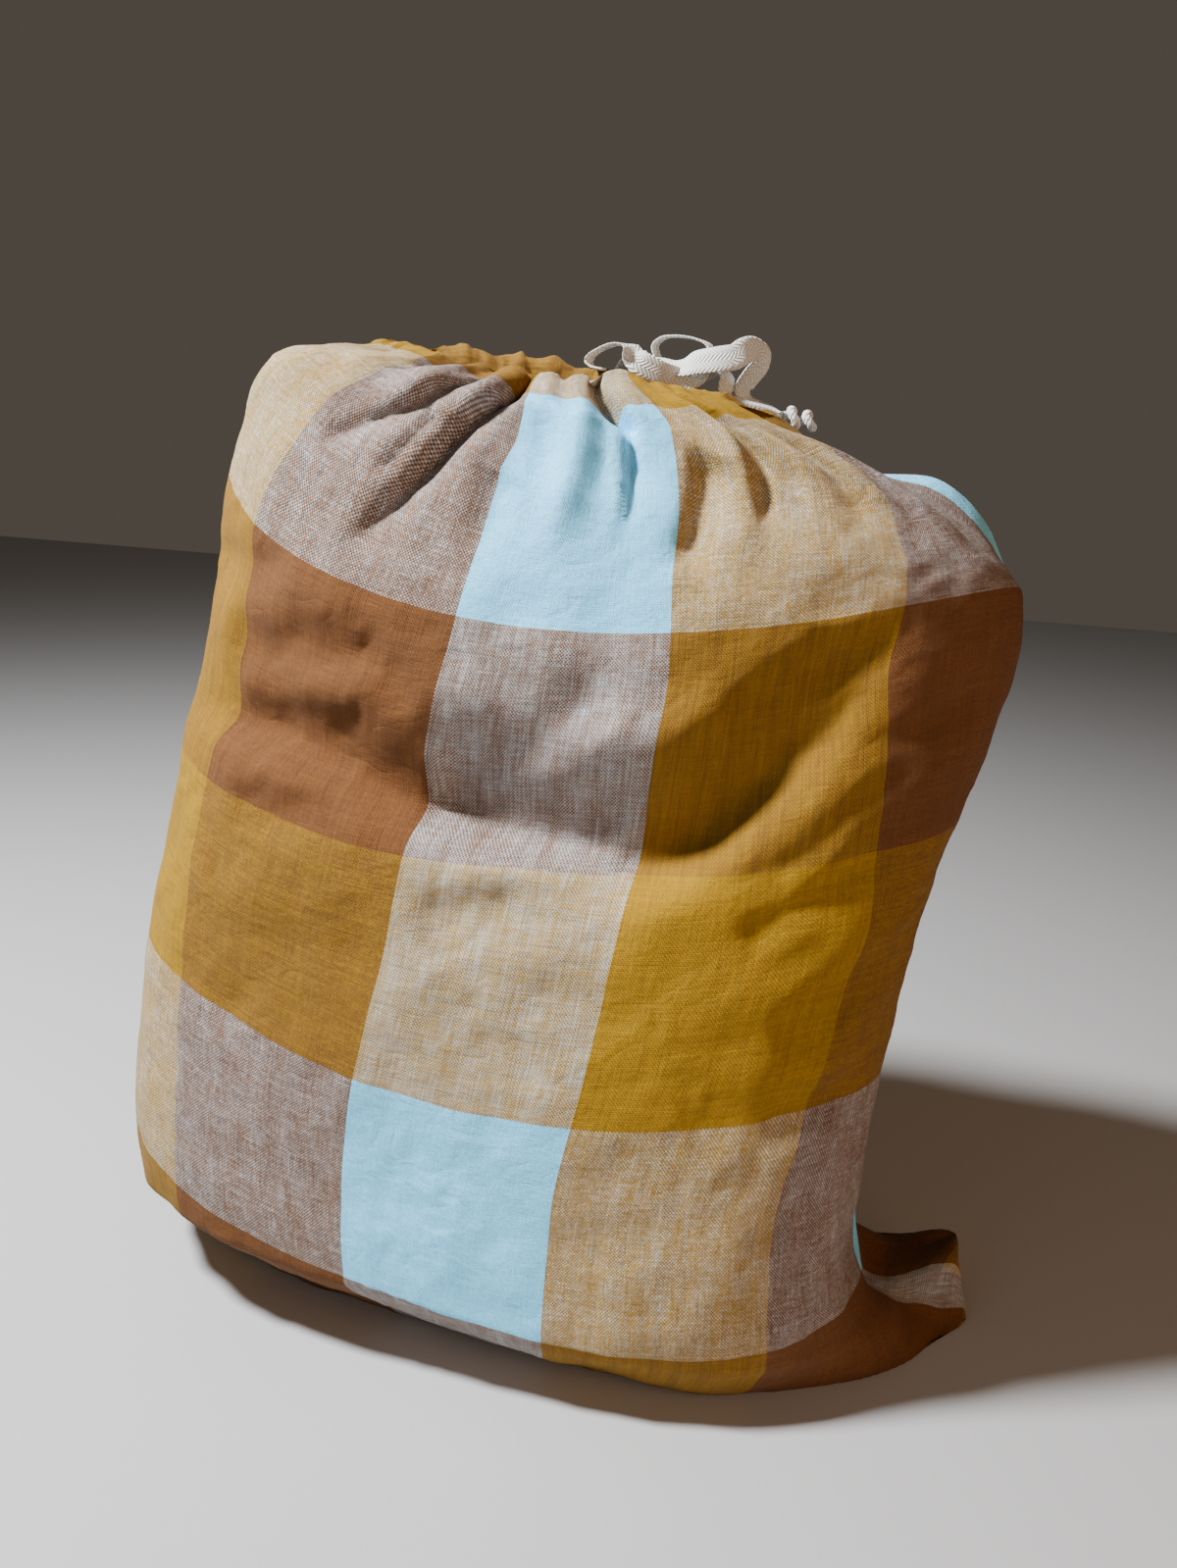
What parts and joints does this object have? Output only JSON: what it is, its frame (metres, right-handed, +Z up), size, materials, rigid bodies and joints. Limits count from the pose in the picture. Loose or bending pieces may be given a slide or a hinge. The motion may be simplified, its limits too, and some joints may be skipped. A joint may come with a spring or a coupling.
{
  "type": "filled linen drawstring bag",
  "caption": "Filled check linen drawstring bag that stands on its sagged base and leans back, its gathered mouth tied by knotted cotton tape, with one loose lower corner.",
  "frame": {"origin": "centre of the bag's bounding box, without its drawstring, at the height of the surface it stands on", "axes": "+Z up from the surface, -Y out of the bag's front, +X to the right as seen from the front, towards the loose corner"},
  "size_m": [0.4363, 0.228, 0.4696],
  "materials": {
    "linen": "matte plain weave",
    "cotton_tape": "matte herringbone tape"
  },
  "bodies": {
    "root": {"bag_body": "linen", "drawstring_left": "cotton_tape", "drawstring_right": "cotton_tape", "drawstring_knot": "cotton_tape"}
  },
  "joints": []
}
